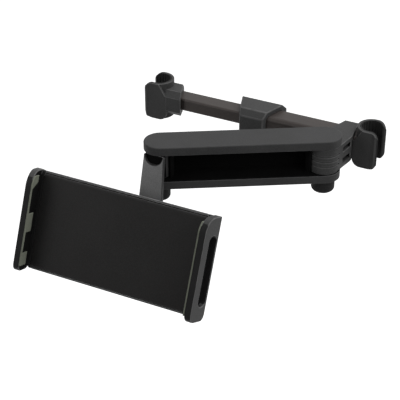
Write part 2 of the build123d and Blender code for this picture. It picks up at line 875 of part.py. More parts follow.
# Drop bracket: a barrel between the arm's plates and a leaning plate, hollowed at its top
with BuildPart() as drop_bracket:
    with BuildSketch(drop_plane):
        with BuildLine():
            Polyline(
                (-drop_top_width / 2, drop_length),
                (drop_top_width / 2, drop_length),
                (0, 0),
                close=True,
            )
        make_face()
        Circle(drop_end_radius)
        make_hull()
    extrude(amount=-drop_thickness)
    with BuildSketch(drop_plane):
        with Locations((0, drop_length + relief_radius - drop_relief)):
            Circle(relief_radius)
    extrude(amount=relief_skin - drop_thickness, mode=Mode.SUBTRACT)
    with BuildSketch(drop_plane):
        Circle(stud_radius)
    extrude(amount=-drop_thickness, mode=Mode.SUBTRACT)
    with BuildSketch(Plane.YZ.offset(drop_x - drop_web_width / 2)):
        web_top = socket_half - drop_relief
        top_front = drop_y + (drop_depth + web_top) * lean_sin / lean_cos + drop_thickness / 2
        low_front = drop_y + (drop_depth - socket_half) * lean_sin / lean_cos + drop_thickness / 2
        with BuildLine():
            Polyline(
                (swivel_y, web_top),
                (top_front, web_top),
                (low_front, -socket_half),
                (swivel_y, -socket_half),
                close=True,
            )
        make_face()
    extrude(amount=drop_web_width)
    with Locations((swivel_x, swivel_y, 0)):
        Cylinder(swivel_barrel_radius, socket_height)
        Cylinder(bolt_radius + bolt_clearance, socket_height, mode=Mode.SUBTRACT)
    with Locations((swivel_x, swivel_y, socket_half), (swivel_x, swivel_y, -socket_half)):
        Cylinder(swivel_washer_radius, 2 * washer_seat, mode=Mode.SUBTRACT)
drop_bracket.part.label = "drop_bracket"
export_step(drop_bracket.part, "parts/drop_bracket.step")

# Friction washers in both ends of the drop bracket's barrel
with BuildPart() as holder_washers:
    with BuildSketch(Plane.XY.offset(socket_half - washer_seat)):
        with Locations((swivel_x, swivel_y)):
            Circle(swivel_washer_radius)
            Circle(bolt_radius + bolt_clearance, mode=Mode.SUBTRACT)
    extrude(amount=washer_thickness)
    mirror(about=Plane.XY)
holder_washers.part.label = "holder_washers"
export_step(holder_washers.part, "parts/holder_washers.step")

# Ball stud through the drop bracket
with BuildPart(drop_plane) as ball_stud:
    with Locations((0, 0, ball_reach)):
        Sphere(ball_radius)
    Cylinder(neck_radius, ball_reach, align=(Align.CENTER, Align.CENTER, Align.MIN))
    Cylinder(flange_radius, flange_height, align=(Align.CENTER, Align.CENTER, Align.MIN))
    Cylinder(
        stud_radius,
        drop_thickness + nut_height + stud_tail,
        align=(Align.CENTER, Align.CENTER, Align.MAX),
    )
ball_stud.part.label = "ball_stud"
export_step(ball_stud.part, "parts/ball_stud.step")

# Nut behind the drop bracket
with BuildPart() as stud_nut:
    with BuildSketch(drop_plane.offset(-drop_thickness)):
        RegularPolygon(nut_width / 2, 6, major_radius=False)
        Circle(stud_radius, mode=Mode.SUBTRACT)
    extrude(amount=-nut_height)
stud_nut.part.label = "stud_nut"
export_step(stud_nut.part, "parts/stud_nut.step")

# Seat in front of the ball
with BuildPart(ball_plane) as ball_seat:
    Sphere(cup_radius)
    Sphere(cup_bore_radius, mode=Mode.SUBTRACT)
    with Locations((0, 0, seat_level)):
        Cylinder(
            2 * cup_radius,
            2 * cup_radius,
            align=(Align.CENTER, Align.CENTER, Align.MAX),
            mode=Mode.SUBTRACT,
        )
ball_seat.part.label = "ball_seat"
export_step(ball_seat.part, "parts/ball_seat.step")

# Cup behind the ball
with BuildPart(ball_plane) as ball_cup:
    Sphere(cup_radius)
    Sphere(cup_bore_radius, mode=Mode.SUBTRACT)
    with Locations((0, 0, cup_front)):
        Cylinder(
            2 * cup_radius,
            2 * cup_radius,
            align=(Align.CENTER, Align.CENTER, Align.MIN),
            mode=Mode.SUBTRACT,
        )
    with Locations((0, 0, -cup_rear)):
        Cylinder(
            2 * cup_radius,
            2 * cup_radius,
            align=(Align.CENTER, Align.CENTER, Align.MAX),
            mode=Mode.SUBTRACT,
        )
ball_cup.part.label = "ball_cup"
export_step(ball_cup.part, "parts/ball_cup.step")

# Lock ring on the socket boss
with BuildPart() as lock_ring:
    with BuildSketch(ball_plane.offset(-boss_rear - socket_clearance - ring_back)):
        Circle(ring_radius)
        with PolarLocations(ring_radius, ring_lobes):
            Circle(ring_lobe_radius, mode=Mode.SUBTRACT)
        Circle(ring_hole_radius, mode=Mode.SUBTRACT)
    extrude(amount=ring_back)
    with BuildSketch(ball_plane.offset(-boss_rear - socket_clearance)):
        Circle(ring_radius)
        with PolarLocations(ring_radius, ring_lobes):
            Circle(ring_lobe_radius, mode=Mode.SUBTRACT)
        Circle(ring_bore_radius, mode=Mode.SUBTRACT)
    extrude(amount=boss_rear + socket_clearance + ring_front)
lock_ring.part.label = "lock_ring"
export_step(lock_ring.part, "parts/lock_ring.step")

# Rear shell of the holder: a tray with the ball socket, screw posts and spring posts
with BuildPart() as rear_shell:
    extrude(body_outline(-body_left), amount=body_width)
    with BuildSketch(holder_plane.offset(-panel_depth)):
        with Locations((body_mid, 0)):
            Rectangle(body_width, 2 * (panel_half + parting_gap))
    extrude(amount=panel_depth, mode=Mode.SUBTRACT)
    with BuildSketch(holder_plane.offset(floor_level)):
        with Locations((-body_left, 0)):
            Rectangle(
                body_width - shell_wall,
                body_height - 2 * tray_margin,
                align=(Align.MIN, Align.CENTER),
            )
    extrude(amount=shell_depth, mode=Mode.SUBTRACT)
    with BuildSketch(holder_plane.offset(-tongue_bottom - tongue_clearance)):
        with Locations((body_right, 0)):
            Rectangle(4 * shell_wall, 2 * (tongue_half + tongue_clearance))
    extrude(amount=tongue_bottom, mode=Mode.SUBTRACT)
    with BuildSketch(holder_plane.offset(floor_level)):
        with Locations(*boss_posts):
            Circle(boss_post_radius)
        with Locations(*spring_posts):
            Circle(jaw_spring_post_radius)
    extrude(amount=-floor_level - panel_depth)
    # socket for the ball
    with BuildSketch(ball_plane.offset(-boss_rear)):
        Circle(boss_radius)
    extrude(amount=boss_rear + cavity_radius + boss_cap)
    with Locations(ball_plane):
        Sphere(cavity_radius, mode=Mode.SUBTRACT)
        Cylinder(
            cavity_radius,
            2 * boss_rear,
            align=(Align.CENTER, Align.CENTER, Align.MAX),
            mode=Mode.SUBTRACT,
        )
    # screw holes and head seats
    with BuildSketch(holder_plane.offset(-body_depth)):
        with Locations(*boss_posts, *lug_screws):
            Circle(boss_screw_radius)
    extrude(amount=shell_depth, mode=Mode.SUBTRACT)
    with BuildSketch(holder_plane.offset(-body_depth)):
        with Locations(*boss_posts, *lug_screws):
            Circle(small_head_radius)
    extrude(amount=small_head_height, mode=Mode.SUBTRACT)
rear_shell.part.label = "rear_shell"
export_step(rear_shell.part, "parts/rear_shell.step")

# Front panel that backs the tablet
with BuildPart() as front_panel:
    extrude(body_outline(-body_left), amount=body_width)
    with BuildSketch(holder_plane.offset(-panel_depth)):
        with Locations((body_mid, 0)):
            Rectangle(body_width, 2 * panel_half)
    extrude(amount=panel_depth, mode=Mode.INTERSECT)
    with BuildSketch(holder_plane.offset(-panel_depth)):
        with Locations(*boss_posts):
            Circle(boss_screw_radius)
    extrude(amount=panel_screw_bite, mode=Mode.SUBTRACT)
front_panel.part.label = "front_panel"
export_step(front_panel.part, "parts/front_panel.step")

# Screws that hold the panel to the shell
with BuildPart(holder_plane.offset(-body_depth)) as shell_screws:
    with Locations(*boss_posts):
        Cylinder(small_head_radius, small_head_height, align=(Align.CENTER, Align.CENTER, Align.MIN))
        Cylinder(
            boss_screw_radius,
            shell_depth + panel_screw_bite,
            align=(Align.CENTER, Align.CENTER, Align.MIN),
        )
shell_screws.part.label = "shell_screws"
export_step(shell_screws.part, "parts/shell_screws.step")

# Fixed jaw with the lug that screws to the shell
with BuildPart() as fixed_jaw:
    extrude(jaw_section(-1), amount=jaw_height, both=True)
    extrude(jaw_outline(), amount=2 * jaw_half_width, both=True, mode=Mode.INTERSECT)
    extrude(body_outline(-body_left), amount=body_left - jaw_root)
    with BuildSketch(holder_plane.offset(floor_level)):
        with Locations((-body_left - lug_root, 0)):
            Rectangle(lug_root + lug_length, 2 * lug_half, align=(Align.MIN, Align.CENTER))
    extrude(amount=lug_thickness)
    with BuildSketch(holder_plane.offset(floor_level)):
        with Locations(*lug_screws):
            Circle(boss_screw_radius)
    extrude(amount=lug_thickness, mode=Mode.SUBTRACT)
fixed_jaw.part.label = "fixed_jaw"
export_step(fixed_jaw.part, "parts/fixed_jaw.step")

# Screws of the fixed jaw
with BuildPart(holder_plane.offset(-body_depth)) as jaw_screws:
    with Locations(*lug_screws):
        Cylinder(small_head_radius, small_head_height, align=(Align.CENTER, Align.CENTER, Align.MIN))
        Cylinder(
            boss_screw_radius,
            shell_wall + lug_thickness,
            align=(Align.CENTER, Align.CENTER, Align.MIN),
        )
jaw_screws.part.label = "jaw_screws"
export_step(jaw_screws.part, "parts/jaw_screws.step")

# Pad of the fixed jaw
with BuildPart() as fixed_jaw_pad:
    extrude(pad_section(-1), amount=jaw_height, both=True)
    extrude(pad_outline(), amount=2 * jaw_half_width, both=True, mode=Mode.INTERSECT)
    extrude(jaw_outline(), amount=2 * jaw_half_width, both=True, mode=Mode.INTERSECT)
fixed_jaw_pad.part.label = "fixed_jaw_pad"
export_step(fixed_jaw_pad.part, "parts/fixed_jaw_pad.step")

# Sliding jaw with a tongue that runs inside the shell
with BuildPart() as sliding_jaw:
    extrude(jaw_section(1), amount=jaw_height, both=True)
    extrude(jaw_outline(), amount=2 * jaw_half_width, both=True, mode=Mode.INTERSECT)
    extrude(body_outline(body_right + seam_gap), amount=jaw_root - body_right - seam_gap)
    with BuildSketch(side_plane.offset(jaw_half_width)):
        with Locations((slot_shift, slot_level)):
            SlotOverall(slot_length, slot_width)
    extrude(amount=-slot_depth, mode=Mode.SUBTRACT)
    with BuildSketch(holder_plane.offset(-tongue_bottom)):
        with Locations((-tongue_reach, 0)):
            Rectangle(
                tongue_reach + body_right + shell_wall,
                2 * tongue_half,
                align=(Align.MIN, Align.CENTER),
            )
            Rectangle(crossbar_width, 2 * crossbar_half, align=(Align.MIN, Align.CENTER))
    extrude(amount=tongue_thickness)
sliding_jaw.part.label = "sliding_jaw"
export_step(sliding_jaw.part, "parts/sliding_jaw.step")

# Pad of the sliding jaw
with BuildPart() as sliding_jaw_pad:
    extrude(pad_section(1), amount=jaw_height, both=True)
    extrude(pad_outline(), amount=2 * jaw_half_width, both=True, mode=Mode.INTERSECT)
    extrude(jaw_outline(), amount=2 * jaw_half_width, both=True, mode=Mode.INTERSECT)
sliding_jaw_pad.part.label = "sliding_jaw_pad"
export_step(sliding_jaw_pad.part, "parts/sliding_jaw_pad.step")

# Springs that pull the sliding jaw closed
with BuildPart() as jaw_springs:
    with BuildLine() as coil_path:
        Helix(
            jaw_spring_length / jaw_spring_turns,
            jaw_spring_length,
            jaw_spring_radius,
            (
                face_x + jaw_spring_start,
                face_y + jaw_spring_v * tilt_sin + jaw_spring_level * tilt_cos,
                face_z + jaw_spring_v * tilt_cos - jaw_spring_level * tilt_sin,
            ),
            (1, 0, 0),
        )
    with BuildSketch(Plane(origin=coil_path.line @ 0, z_dir=coil_path.line % 0)):
        RegularPolygon(jaw_spring_wire, 6)
    sweep(is_frenet=True)
    mirror(about=section_plane)
jaw_springs.part.label = "jaw_springs"
export_step(jaw_springs.part, "parts/jaw_springs.step")
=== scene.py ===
"""Looks of the headrest tablet mount, built around its solids as an add-on."""
import json
import math

import bmesh
import bpy
from bpy.props import FloatProperty, FloatVectorProperty, IntProperty, PointerProperty
from bpy.types import NodeSocket, Operator, Panel, PropertyGroup
from mathutils import Matrix, Vector
from mathutils.bvhtree import BVHTree

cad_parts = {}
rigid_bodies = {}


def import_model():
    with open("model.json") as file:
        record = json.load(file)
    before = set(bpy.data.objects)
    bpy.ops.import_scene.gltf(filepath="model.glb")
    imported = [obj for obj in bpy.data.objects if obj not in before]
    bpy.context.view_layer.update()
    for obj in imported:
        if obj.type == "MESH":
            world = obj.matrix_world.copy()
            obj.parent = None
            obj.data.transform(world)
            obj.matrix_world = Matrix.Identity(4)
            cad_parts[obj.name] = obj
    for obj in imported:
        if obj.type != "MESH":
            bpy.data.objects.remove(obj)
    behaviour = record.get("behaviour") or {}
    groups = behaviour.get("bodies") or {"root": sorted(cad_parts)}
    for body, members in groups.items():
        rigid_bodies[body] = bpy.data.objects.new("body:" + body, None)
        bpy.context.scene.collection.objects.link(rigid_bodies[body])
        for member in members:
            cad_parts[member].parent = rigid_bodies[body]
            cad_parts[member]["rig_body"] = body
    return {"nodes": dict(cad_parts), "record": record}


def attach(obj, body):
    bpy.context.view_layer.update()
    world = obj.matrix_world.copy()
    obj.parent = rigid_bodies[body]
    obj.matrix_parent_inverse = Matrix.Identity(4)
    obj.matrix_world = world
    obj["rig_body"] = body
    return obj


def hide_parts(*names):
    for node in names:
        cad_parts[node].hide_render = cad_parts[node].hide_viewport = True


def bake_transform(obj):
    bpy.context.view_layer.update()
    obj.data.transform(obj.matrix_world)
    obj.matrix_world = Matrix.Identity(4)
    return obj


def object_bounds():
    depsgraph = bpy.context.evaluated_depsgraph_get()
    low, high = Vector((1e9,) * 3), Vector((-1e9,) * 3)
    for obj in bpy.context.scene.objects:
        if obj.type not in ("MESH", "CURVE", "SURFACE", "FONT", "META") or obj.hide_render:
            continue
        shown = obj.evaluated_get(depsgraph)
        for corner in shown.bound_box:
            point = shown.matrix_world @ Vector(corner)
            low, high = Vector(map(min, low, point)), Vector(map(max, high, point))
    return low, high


bl_info = {
    "name": "Headrest Tablet Mount Looks",
    "version": (1, 0, 0),
    "blender": (4, 5, 0),
    "location": "View3D > Sidebar > Tablet Mount",
    "description": "Rounds the edges of a headrest tablet mount and gives each piece its finish",
    "category": "Object",
}

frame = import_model()
cad_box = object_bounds()

SLOT_OF = {part["node"]: part["material_slot"] for part in frame["record"]["subparts"]}
UP = Vector((0, 0, 1))
FORWARD = Vector((0, -1, 0))

# Lengths in metres
MILLIMETRE = 0.001
MERGE_DISTANCE = 1e-6
BORE_TOLERANCE = 20 * MERGE_DISTANCE
HEAD_TOLERANCE = 1e-5

# Rounds on the edges; room and strays are measured in widths of the round
EDGE_BAND = "edge_band"
ROUND_SEGMENTS = 2
ROUND_PROFILE = 0.5
ROOM_FACTOR = 1.6
STRAY_FACTOR = 0.6
TIP_ANGLE = math.radians(25)

# How nearly a unit vector points a given way, as the cosine of the angle between the two
HALF_TURNED = 0.5
LIP_FACING = 0.8
UPRIGHT = 0.9
PLATE_FACING = 0.95
HEAD_FACING = 0.99

# Place of the painted shade among the materials of a piece
PAINTED_SHADE_INDEX = 1

# The round end of a screw has more corners than this
SQUARE_CORNERS = 4

# Weights in the shared effects
PIT_WEIGHT = 0.8
PATCH_WEIGHT = 0.65
MIDDLE_SHARE = 0.5

# Tones and roughness along the lines of bare metal, as shares of the given ones
METAL_TONES = (0.8, 1.15)
METAL_ROUGHNESS = (0.8, 1.25)

# Moulded plastics and rubbers; pit, depth and patch are lengths in metres
# The rub amount and its lift make rounded edges lighter: partly wear, partly a painted highlight
MOULDED = {
    "frame_plastic": dict(rough=0.6, gloss=0.12, pit=0.0005, depth=0.00006, rub=0.8, wear_and_highlight_lift=2.6),
    "arm_plastic": dict(rough=0.6, gloss=0.09, pit=0.00042, depth=0.00004, rub=0.5),
    "cap_plastic": dict(rough=0.7, gloss=0.1, pit=0.0009, depth=0.00025, rub=0.1),
    "liner_rubber": dict(rough=0.75, gloss=0.1, pit=0.0006, depth=0.00006, rub=1.0),
    "nylon": dict(rough=0.5, gloss=0.4, pit=0.0008, depth=0.00003, rub=0.0, lift=1.1),
    "drop_plastic": dict(rough=0.42, gloss=0.3, pit=0.0009, depth=0.00003, rub=0.2),
    "ring_plastic": dict(rough=0.6, gloss=0.12, pit=0.0005, depth=0.00006, rub=0.4),
    "shell_plastic": dict(rough=0.55, gloss=0.13, pit=0.0005, depth=0.00006, rub=1.0, wear_and_highlight_lift=4.0),
    "panel_plastic": dict(
        rough=0.55, gloss=0.06, pit=0.0004, depth=0.00003, rub=0.8, wear_and_highlight_lift=2.6, patch=0.05
    ),
    "jaw_plastic": dict(rough=0.5, gloss=0.09, pit=0.00045, depth=0.00005, rub=0.8, wear_and_highlight_lift=3.0),
    # painted shade: darker colour for the front faces of the jaw lips
    "lip": dict(rough=0.55, gloss=0.06, pit=0.0005, depth=0.00005, rub=0.0),
    "pad_rubber": dict(rough=0.8, gloss=0.12, pit=0.0007, depth=0.00008, rub=0.3),
    # painted shade: near-black colour for faces deep in hollows, where shade falls
    "hollow": dict(rough=0.9, gloss=0.03, pit=0.0006, depth=0.00004, rub=0.0),
}

# Roughness of the bare metals
BARE_METALS = {"steel": 0.38, "chrome_steel": 0.14}

# The stage
WHITE = (1, 1, 1, 1)
FLOOR_TONES = (0.98, 1.02)
FLOOR_GLOW = 0.9
SENSOR_WIDTH = 36.0


def colour_property(name, description, default):
    """A linear colour that the user may change."""
    return FloatVectorProperty(
        name=name, description=description, default=default, size=3, min=0, max=1, subtype="COLOR"
    )


def length_property(name, description, default):
    """A length in metres that the user may change."""
    return FloatProperty(name=name, description=description, default=default, precision=5, unit="LENGTH")


def fine_property(name, description, millimetres):
    """A small length that the user may change, given in millimetres."""
    return length_property(name, description, millimetres * MILLIMETRE)


def angle_property(name, description, degrees):
    """An angle that the user may change, given in degrees."""
    return FloatProperty(name=name, description=description, default=math.radians(degrees), subtype="ANGLE")


def power_property(name, description, default):
    """The power of a lamp that the user may change."""
    return FloatProperty(name=name, description=description, default=default, min=0, unit="POWER")


def place_property(name, description, default):
    """A place in the shared frame that the user may change."""
    return FloatVectorProperty(
        name=name, description=description, default=default, size=3, subtype="TRANSLATION", unit="LENGTH"
    )


class MountEdges(PropertyGroup):
    """How the edges of the pieces are rounded."""

    moulded: fine_property("Moulded edge", "Round on the edges of the brackets and the arm", 0.38)
    jaw: fine_property("Jaw edge", "Round on the edges of the jaws", 0.5)
    collar: fine_property("Collar edge", "Round on the edges of the collar", 0.7)
    crest: fine_property("Crest edge", "Round on the edges of the shell and panel", 0.36)
    thin: fine_property("Thin edge", "Round on the edges of hooks, caps, ring and pads", 0.24)
    metal: fine_property("Metal edge", "Round on the edges of metal pieces and liners", 0.15)
    sharp: angle_property("Sharp angle", "Edges that turn by more than this are rounded", 33)
    flat: angle_property("Flat angle", "Facets that turn by less than this are joined", 0.8)


class MountDetails(PropertyGroup):
    """Sizes of the fine forms on the pieces."""

    # Depths under the wrap past which faces get the painted shade
    arm_hollow: fine_property("Arm hollow", "Faces deeper than this in the arm are dark", 2.5)
    jaw_hollow: fine_property("Jaw hollow", "Faces deeper than this in a jaw are dark", 1.2)
    bracket_hollow: fine_property("Bracket hollow", "Faces deeper than this in the bracket are dark", 2.9)
    drop_hollow: fine_property("Plate hollow", "Faces deeper than this in the drop plate are dark", 1.0)
    bore_radius: fine_property("Liner bore", "Radius of the bore of a hook liner", 6.8)
    bore_slack: fine_property("Bore slack", "How far a point of the bore may lie inside it", 0.2)
    rib_depth: fine_property("Rib depth", "Depth of the grooves between the liner's ribs", 0.35)
    rib_count: IntProperty(name="Ribs", description="Ribs round a full bore", default=24, min=3)
    rib_steps: IntProperty(name="Rib steps", description="Cuts in each facet of the bore", default=7, min=1)
    cross_reach: fine_property("Cross reach", "Length of a screw's cross recess", 2.3)
    cross_width: fine_property("Cross width", "Width of a screw's cross recess", 0.55)
    cross_depth: fine_property("Cross depth", "Depth of a screw's cross recess", 0.8)


class MountColours(PropertyGroup):
    """Base colours of the finishes."""

    frame_plastic: colour_property("Hooks and collar", "Matte moulded plastic", (0.058, 0.058, 0.058))
    tube_metal: colour_property("Tubes", "Satin brown-grey paint", (0.05, 0.0425, 0.0395))
    arm_plastic: colour_property("Swing arm", "Fine matte plastic", (0.058, 0.058, 0.0585))
    cap_plastic: colour_property("Bolt caps", "Stippled dark plastic", (0.022, 0.022, 0.0222))
    liner_rubber: colour_property("Hook liners", "Dark soft liner", (0.026, 0.026, 0.026))
    steel: colour_property("Steel", "Blackened screws, bolts and springs", (0.2, 0.2, 0.205))
    chrome_steel: colour_property("Ball stud", "Polished steel", (0.62, 0.62, 0.64))
    nylon: colour_property("Nylon", "Natural washers and seats", (0.55, 0.54, 0.5))
    # painted highlight: this light grey stands for the light on the drop plate's front face; the bracket's
    # other faces take the arm's colour
    drop_plastic: colour_property("Drop bracket", "Satin plastic", (0.22, 0.22, 0.221))
    ring_plastic: colour_property("Lock ring", "Matte dark plastic", (0.035, 0.035, 0.0355))
    shell_plastic: colour_property("Rear shell", "Matte dark plastic", (0.075, 0.075, 0.0755))
    panel_plastic: colour_property("Front panel", "Smooth matte plastic", (0.03, 0.0292, 0.029))
    jaw_plastic: colour_property("Jaws", "Matte plastic", (0.062, 0.062, 0.062))
    # painted shade: the jaws' front faces are drawn darker than the rest of each jaw
    lip: colour_property("Jaw lips", "Darker soft-touch plastic", (0.02, 0.02, 0.02))
    pad_rubber: colour_property("Jaw pads", "Grey-green rubber", (0.17, 0.18, 0.145))
    # painted shade for faces deep in the channel, slots and pockets
    hollow: colour_property("Hollows", "Unlit faces deep in the channel and slots", (0.006, 0.006, 0.006))


class MountStage(PropertyGroup):
    """Camera, lamps and floor."""

    camera_place: place_property("Camera place", "Where the camera stands", (0.2060, -0.6551, 0.38905))
    camera_turn: FloatVectorProperty(
        name="Camera turn",
        description="Rotation of the camera",
        default=(math.radians(57.672), 0, math.radians(26.249)),
        size=3,
        subtype="EULER",
    )
    camera_lens: FloatProperty(
        name="Lens", description="Focal length in millimetres", default=114.84, unit="CAMERA"
    )
    floor_depth: length_property("Floor depth", "How far the floor lies under the part", 0.6)
    floor_reach: length_property("Floor reach", "Half the side of the floor", 6.0)
    floor_colour: colour_property("Floor", "Pale floor", (0.72, 0.72, 0.72))
    top_place: place_property("Top lamp place", "Where the top lamp hangs", (0.4, 0.6, 1.25))
    top_size: length_property("Top lamp size", "Side of the top lamp", 1.2)
    top_power: power_property("Top lamp", "Soft box above and behind", 17.0)
    side_place: place_property("Side lamp place", "Where the side lamp stands", (1.35, -0.35, 0.75))
    side_size: length_property("Side lamp size", "Side of the side lamp", 0.9)
    side_power: power_property("Side lamp", "Soft box at the right", 6.0)
    front_place: place_property("Front lamp place", "Where the front lamp stands", (-0.45, -0.5, 0.28))
    front_size: length_property("Front lamp size", "Side of the front lamp", 0.35)
    front_power: power_property("Front lamp", "Weak fill near the left", 0.95)
    ambient: FloatProperty(
        name="Ambient", description="Level of the even light", default=0.1, min=0, max=1, subtype="FACTOR"
    )


def new_group(name, inputs, outputs):
    """An empty shader node group with named sockets."""
    group = bpy.data.node_groups.new(name, "ShaderNodeTree")
    for label, kind, default in inputs:
        socket = group.interface.new_socket(label, in_out="INPUT", socket_type=kind)
        socket.default_value = default
    for label, kind in outputs:
        group.interface.new_socket(label, in_out="OUTPUT", socket_type=kind)
    return group, group.nodes.new("NodeGroupInput"), group.nodes.new("NodeGroupOutput")


def feed(tree, source, socket):
    """Links a socket to another one, or sets it to a plain value."""
    if isinstance(source, NodeSocket):
        tree.links.new(source, socket)
    else:
        socket.default_value = source


def math_node(tree, operation, first, second, clamp=False):
    """A math node fed by sockets or plain numbers."""
    node = tree.nodes.new("ShaderNodeMath")
    node.operation = operation
    node.use_clamp = clamp
    feed(tree, first, node.inputs[0])
    feed(tree, second, node.inputs[1])
    return node.outputs[0]


def colour_sockets(sockets):
    """The colour sockets among a node's inputs or outputs."""
    return [socket for socket in sockets if socket.type == "RGBA"]


def mix_colours(tree, share, first, second):
    """A mix of two colours, given as sockets or plain colours."""
    node = tree.nodes.new("ShaderNodeMix")
    node.data_type = "RGBA"
    tree.links.new(share, node.inputs["Factor"])
    for source, socket in zip((first, second), colour_sockets(node.inputs)):
        feed(tree, source, socket)
    return colour_sockets(node.outputs)[0]


def noise_node(tree, vector, scale, detail, rough=0.5):
    """A noise texture in the frame of the piece."""
    node = tree.nodes.new("ShaderNodeTexNoise")
    node.inputs["Detail"].default_value = detail
    node.inputs["Roughness"].default_value = rough
    tree.links.new(vector, node.inputs["Vector"])
    feed(tree, scale, node.inputs["Scale"])
    return node.outputs["Fac"]


def spread(tree, value, low=0.0, high=1.0, to_low=0.0, to_high=1.0):
    """A clamped map of one range of values to another."""
    node = tree.nodes.new("ShaderNodeMapRange")
    node.inputs["From Min"].default_value = low
    node.inputs["From Max"].default_value = high
    node.inputs["To Min"].default_value = to_low
    node.inputs["To Max"].default_value = to_high
    tree.links.new(value, node.inputs["Value"])
    return node.outputs["Result"]


def piece_place(tree):
    """Coordinates of a surface point in the frame of its piece."""
    return tree.nodes.new("ShaderNodeTexCoord").outputs["Object"]


def make_grain_group():
    """Moulded grain: soft pits of a given size, put out as a height."""
    group, given, result = new_group(
        "Moulded grain",
        [("Pit size", "NodeSocketFloat", 0.0005)],
        [("Height", "NodeSocketFloat")],
    )
    place = piece_place(group)
    scale = math_node(group, "DIVIDE", 1.0, given.outputs["Pit size"])
    coarse = noise_node(group, place, scale, detail=3.0, rough=0.6)
    cells = group.nodes.new("ShaderNodeTexVoronoi")
    cells.feature = "SMOOTH_F1"
    group.links.new(place, cells.inputs["Vector"])
    group.links.new(scale, cells.inputs["Scale"])
    pits = math_node(group, "MULTIPLY", cells.outputs["Distance"], PIT_WEIGHT)
    total = math_node(group, "ADD", coarse, pits)
    group.links.new(total, result.inputs["Height"])
    return group


def make_tone_group():
    """Tone drift: broad cloudy patches in a colour, with a matching change of roughness."""
    group, given, result = new_group(
        "Tone drift",
        [
            ("Colour", "NodeSocketColor", (0.05, 0.05, 0.05, 1)),
            ("Light colour", "NodeSocketColor", (0.07, 0.07, 0.07, 1)),
            ("Patch size", "NodeSocketFloat", 0.02),
            ("Roughness", "NodeSocketFloat", 0.5),
            ("Roughness drift", "NodeSocketFloat", 0.08),
        ],
        [("Colour", "NodeSocketColor"), ("Roughness", "NodeSocketFloat")],
    )
    place = piece_place(group)
    scale = math_node(group, "DIVIDE", 1.0, given.outputs["Patch size"])
    patches = spread(group, noise_node(group, place, scale, detail=4.0), low=0.3, high=0.7)
    speckle = noise_node(group, place, scale=1600.0, detail=2.0)
    speckle = spread(group, speckle, low=0.35, high=0.65, to_high=0.45)
    share = math_node(group, "MULTIPLY", patches, PATCH_WEIGHT)
    share = math_node(group, "ADD", share, speckle, clamp=True)
    tone = mix_colours(group, share, given.outputs["Colour"], given.outputs["Light colour"])
    offset = math_node(group, "SUBTRACT", patches, MIDDLE_SHARE)
    offset = math_node(group, "MULTIPLY", offset, given.outputs["Roughness drift"])
    rough = math_node(group, "ADD", offset, given.outputs["Roughness"], clamp=True)
    group.links.new(tone, result.inputs["Colour"])
    group.links.new(rough, result.inputs["Roughness"])
    return group


def make_rub_and_highlight_group():
    """Edge rub: lighter, uneven wear along the rounded edges of a piece, which also paints the highlight
    that these edges catch.
    """
    group, given, result = new_group(
        "Edge rub",
        [
            ("Colour", "NodeSocketColor", (0.05, 0.05, 0.05, 1)),
            # the rub colour is partly a painted highlight on the edges
            ("Rub colour", "NodeSocketColor", (0.12, 0.12, 0.12, 1)),
            ("Amount", "NodeSocketFloat", 0.5),
        ],
        [("Colour", "NodeSocketColor"), ("Mask", "NodeSocketFloat")],
    )
    band = group.nodes.new("ShaderNodeAttribute")
    band.attribute_type = "GEOMETRY"
    band.attribute_name = EDGE_BAND
    breaks = noise_node(group, piece_place(group), scale=260.0, detail=3.0)
    breaks = spread(group, breaks, low=0.32, high=0.62, to_low=0.35)
    mask = math_node(group, "MULTIPLY", band.outputs["Fac"], breaks)
    mask = math_node(group, "MULTIPLY", mask, given.outputs["Amount"], clamp=True)
    worn_and_highlit = mix_colours(group, mask, given.outputs["Colour"], given.outputs["Rub colour"])
    group.links.new(worn_and_highlit, result.inputs["Colour"])
    group.links.new(mask, result.inputs["Mask"])
    return group


def make_streak_group():
    """Drawn streaks: fine lines that run the way of the bar, put out as a share."""
    group, given, result = new_group(
        "Drawn streaks",
        [("Line pitch", "NodeSocketFloat", 0.0003), ("Stretch", "NodeSocketFloat", 0.02)],
        [("Share", "NodeSocketFloat")],
    )
    shrink = group.nodes.new("ShaderNodeCombineXYZ")
    group.links.new(given.outputs["Stretch"], shrink.inputs["X"])
    shrink.inputs["Y"].default_value = 1.0
    shrink.inputs["Z"].default_value = 1.0
    stretched = group.nodes.new("ShaderNodeVectorMath")
    stretched.operation = "MULTIPLY"
    group.links.new(piece_place(group), stretched.inputs[0])
    group.links.new(shrink.outputs[0], stretched.inputs[1])
    scale = math_node(group, "DIVIDE", 1.0, given.outputs["Line pitch"])
    lines = noise_node(group, stretched.outputs[0], scale, detail=2.0)
    group.links.new(spread(group, lines, low=0.3, high=0.7), result.inputs["Share"])
    return group


GROUP_MAKERS = {
    "Moulded grain": make_grain_group,
    "Tone drift": make_tone_group,
    "Edge rub": make_rub_and_highlight_group,
    "Drawn streaks": make_streak_group,
}


def place_group(tree, name, **values):
    """Puts a shared group into a material with its own values."""
    group = bpy.data.node_groups.get(name) or GROUP_MAKERS[name]()
    node = tree.nodes.new("ShaderNodeGroup")
    node.node_tree = group
    for label, value in values.items():
        node.inputs[label.replace("_", " ")].default_value = value
    return node


def shade(colour, factor):
    """A lighter or darker form of a colour, with its alpha."""
    return (*[min(1.0, part * factor) for part in colour], 1.0)


def empty_material(name):
    """A material with its principled shader."""
    material = bpy.data.materials.new(name)
    material.use_nodes = True
    return material, material.node_tree, material.node_tree.nodes["Principled BSDF"]


def add_bump(tree, shader, height, depth, strength):
    """Feeds a height to the shader's normal through a bump."""
    bump = tree.nodes.new("ShaderNodeBump")
    bump.inputs["Strength"].default_value = strength
    bump.inputs["Distance"].default_value = depth
    tree.links.new(height, bump.inputs["Height"])
    tree.links.new(bump.outputs["Normal"], shader.inputs["Normal"])


